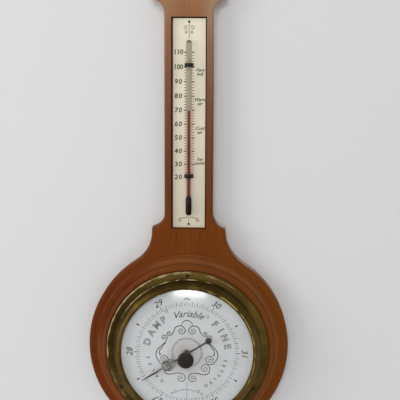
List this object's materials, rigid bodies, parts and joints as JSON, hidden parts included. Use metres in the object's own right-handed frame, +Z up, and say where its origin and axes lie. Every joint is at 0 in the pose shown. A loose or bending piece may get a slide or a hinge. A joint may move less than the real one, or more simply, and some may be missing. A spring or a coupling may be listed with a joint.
{
  "type": "banjo barometer",
  "caption": "Wall barometer with a banjo-shaped wooden case, a domed glass over an aneroid dial with pointer and set hand, and a spirit thermometer in the stem.",
  "frame": {"origin": "centre of the hanger hole on the flat back of the case", "axes": "+Z up the stem, +X to the right as seen from the front, +Y out of the back, so the dial faces -Y"},
  "size_m": [0.1606, 0.0509, 0.3886],
  "materials": {
    "mahogany": "polished",
    "turned_mahogany": "polished",
    "aged_brass": "lacquered and tarnished",
    "brass": "satin",
    "steel": "satin",
    "blacked_metal": "satin black",
    "cream_enamel": "satin enamel",
    "dial_enamel": "satin enamel",
    "clear_glass": "clear",
    "red_spirit": "clear red",
    "dark_brown_plastic": "gloss"
  },
  "bodies": {
    "barometer_case": {"case": "mahogany", "surround": "turned_mahogany", "hanger_plate": "brass", "hanger_screws": "brass", "thermometer_plate": "cream_enamel", "thermometer_tube": "clear_glass", "thermometer_spirit": "red_spirit", "tube_clips": "blacked_metal", "plate_pins": "blacked_metal", "movement_drum": "steel", "bezel": "aged_brass", "bezel_pins": "aged_brass", "glass": "clear_glass", "glass_ring": "brass", "dial": "dial_enamel", "set_hand_bush": "brass", "bush_nut": "brass", "base_plate": "brass", "base_screws": "steel", "capsule_base": "brass", "capsule_top": "brass", "capsule_nut": "steel", "spring_bridge": "steel", "bridge_screws": "steel", "main_spring": "steel", "rocker_bracket": "brass", "chain": "steel", "hairspring": "steel", "arbor_cock": "brass", "top_plate": "brass", "pillars": "brass", "movement_screws": "steel"},
    "indicating_hand": {"pointer": "blacked_metal", "pointer_collet": "brass", "hand_arbor": "steel"},
    "setting_hand": {"set_hand": "brass", "set_hand_arbor": "brass", "set_hand_knob": "dark_brown_plastic"},
    "lever": {"main_lever": "brass", "lever_link": "brass"},
    "rocker": {"rocker_shaft": "steel"},
    "adjuster": {"adjusting_screw": "brass"}
  },
  "joints": [
    {"name": "pointer_turn", "type": "hinge", "parent": "barometer_case", "child": "indicating_hand", "pos_m": [0, -0.0338, -0.29234], "axis": [0, 1, 0], "range_deg": [-27.6, 272.4], "deforming": ["hairspring"]},
    {"name": "rocker_turn", "type": "hinge", "parent": "barometer_case", "child": "rocker", "pos_m": [0.032, -0.009, -0.29234], "axis": [0, 0, 1], "range_deg": [-3, 29.3], "deforming": ["chain"]},
    {"name": "lever_swing", "type": "hinge", "parent": "barometer_case", "child": "lever", "pos_m": [-0.028, -0.0159, -0.29234], "axis": [0, 0, 1], "range_deg": [-0.19, 1.84], "deforming": ["main_spring", "capsule_top", "capsule_base"]},
    {"name": "set_hand_turn", "type": "hinge", "parent": "barometer_case", "child": "setting_hand", "pos_m": [0, -0.0363, -0.29234], "axis": [0, 1, 0], "continuous": true},
    {"name": "adjusting_screw_turn", "type": "hinge", "parent": "barometer_case", "child": "adjuster", "pos_m": [-0.032, -0.002, -0.29234], "axis": [0, 1, 0], "range_deg": [-360, 360]}
  ],
  "couplings": [
    {"joint": "rocker_turn", "follows": "pointer_turn", "ratio": 0.10714},
    {"joint": "lever_swing", "follows": "pointer_turn", "ratio": 0.0067068}
  ]
}
